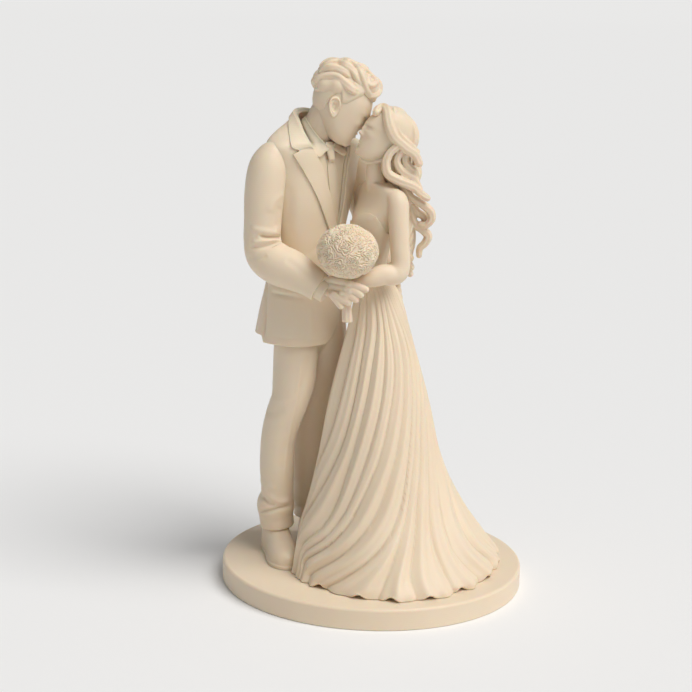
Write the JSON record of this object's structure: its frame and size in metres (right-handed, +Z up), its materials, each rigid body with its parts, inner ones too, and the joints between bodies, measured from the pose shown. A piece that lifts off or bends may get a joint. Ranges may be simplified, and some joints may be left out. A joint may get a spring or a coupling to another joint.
{
  "type": "wedding cake topper",
  "caption": "Cast resin cake topper: a groom in a suit and a bride in a pleated gown stand forehead to forehead with a domed bouquet, on a round base that rests on the cake.",
  "frame": {"origin": "centre of the base's underside, where the topper rests on the cake", "axes": "+Z up, +X to the right of someone facing the pair from the front, -Y towards that viewer"},
  "size_m": [0.097, 0.097, 0.1671],
  "materials": {
    "resin": "satin cast resin"
  },
  "bodies": {
    "root": {"base_disc": "resin", "groom_right_shoe": "resin", "groom_left_shoe": "resin", "groom_trousers": "resin", "groom_jacket": "resin", "groom_shirt_front": "resin", "groom_shirt_collar": "resin", "groom_tie": "resin", "groom_right_sleeve": "resin", "groom_left_sleeve": "resin", "groom_right_cuff": "resin", "groom_left_cuff": "resin", "groom_right_hand": "resin", "groom_left_hand": "resin", "groom_head": "resin", "groom_hair": "resin", "bride_skirt": "resin", "bride_bodice": "resin", "bride_shoulders": "resin", "bride_left_arm": "resin", "bride_right_arm": "resin", "bride_head": "resin", "bride_hair": "resin", "bouquet_flowers": "resin", "bouquet_stems": "resin"}
  },
  "joints": []
}
